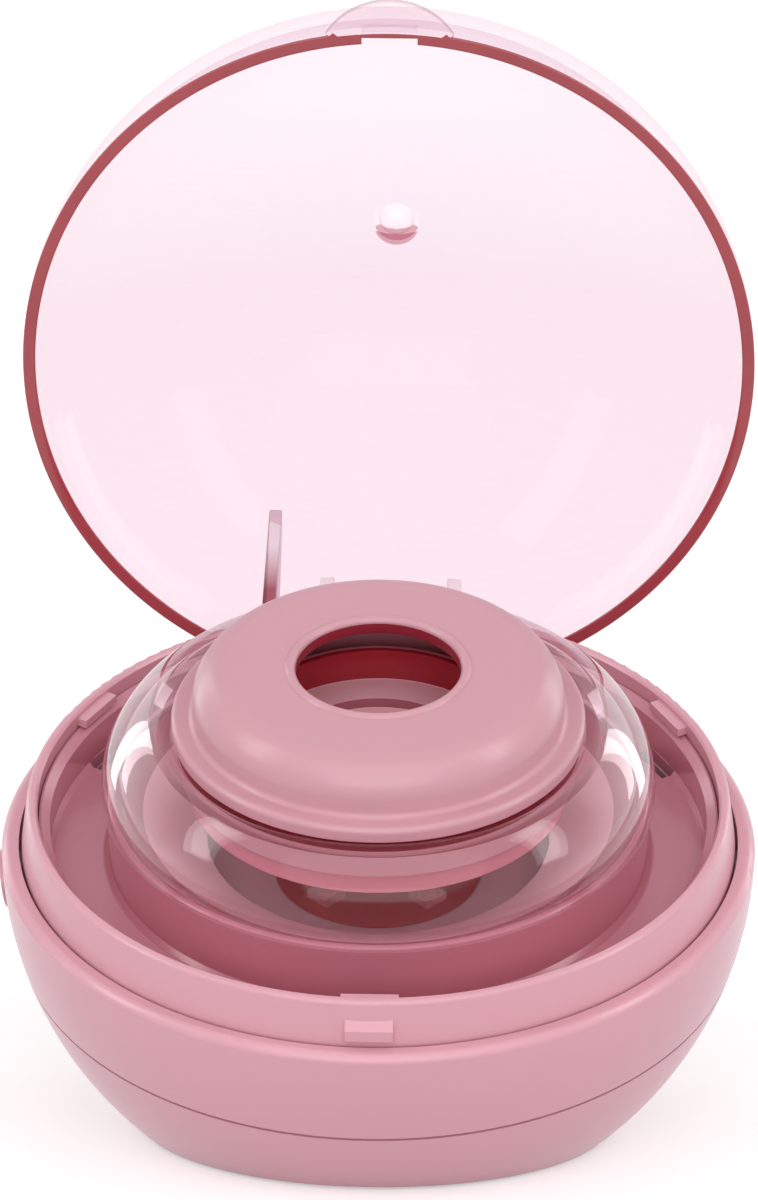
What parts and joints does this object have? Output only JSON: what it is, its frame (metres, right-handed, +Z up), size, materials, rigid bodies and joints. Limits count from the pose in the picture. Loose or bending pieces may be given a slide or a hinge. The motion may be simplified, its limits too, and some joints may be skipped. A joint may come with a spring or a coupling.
{
  "type": "pacifier sterilizer case",
  "caption": "Tilted ball-shaped pacifier sterilizer case with a clear hinged lid and a lift-out soother holder over an ultraviolet lamp.",
  "frame": {"origin": "centre of the foot's underside, on the table", "axes": "+Z up, -Y towards the front with the lid's finger tab, +X to the right as seen from the front"},
  "size_m": [0.096, 0.1237, 0.1416],
  "materials": {
    "pink_housing": "satin moulded ABS",
    "pink_gloss": "polished moulded ABS",
    "clear_pink": "polished clear polycarbonate, tinted pink",
    "clear_plastic": "polished clear polycarbonate",
    "inner_pink": "satin moulded plastic",
    "foot_rubber": "matte silicone",
    "lamp_glass": "polished quartz glass",
    "reflector": "mirror bright",
    "steel": "nickel plated",
    "board": "solder mask",
    "led": "ceramic package",
    "black_plastic": "matte",
    "battery": "pouch foil",
    "seal_rubber": "matte silicone",
    "foam": "open foam"
  },
  "bodies": {
    "base": {"bottom_shell": "pink_housing", "bowl_shell": "pink_housing", "collar_ring": "pink_gloss", "inner_tray": "pink_gloss", "hinge_bracket": "pink_housing", "hinge_pin": "steel", "foot_pad": "foot_rubber", "case_screws": "steel", "lamp_seal": "seal_rubber", "lamp_glass": "lamp_glass", "lamp_reflector": "reflector", "uv_leds": "led", "led_board": "board", "lamp_carrier": "inner_pink", "carrier_screws": "steel", "main_board": "board", "board_screws": "steel", "usb_socket": "steel", "battery": "battery", "battery_foam": "foam", "switch_board": "board", "button_switch": "black_plastic", "lid_switch": "black_plastic", "buzzer": "black_plastic"},
    "lid": {"lid": "clear_pink"},
    "holder": {"holder_dome": "clear_plastic"},
    "cap": {"holder_cap": "pink_gloss", "teat_cup": "inner_pink"},
    "button": {"power_button": "pink_housing"}
  },
  "joints": [
    {"name": "lid_hinge", "type": "hinge", "parent": "base", "child": "lid", "pos_m": [0, 0.04167, 0.04893], "axis": [1, 0, 0], "range_deg": [0, 95.6]},
    {"name": "holder_lift", "type": "slide", "parent": "base", "child": "holder", "axis": [0, -0.342, 0.9397], "range_m": [0, 0.06]},
    {"name": "cap_lift", "type": "slide", "parent": "holder", "child": "cap", "axis": [0, -0.342, 0.9397], "range_m": [0, 0.04]},
    {"name": "button_press", "type": "slide", "parent": "base", "child": "button", "axis": [1, 0, 0], "range_m": [0, 0.0006], "stiffness_N_per_m": 600}
  ]
}
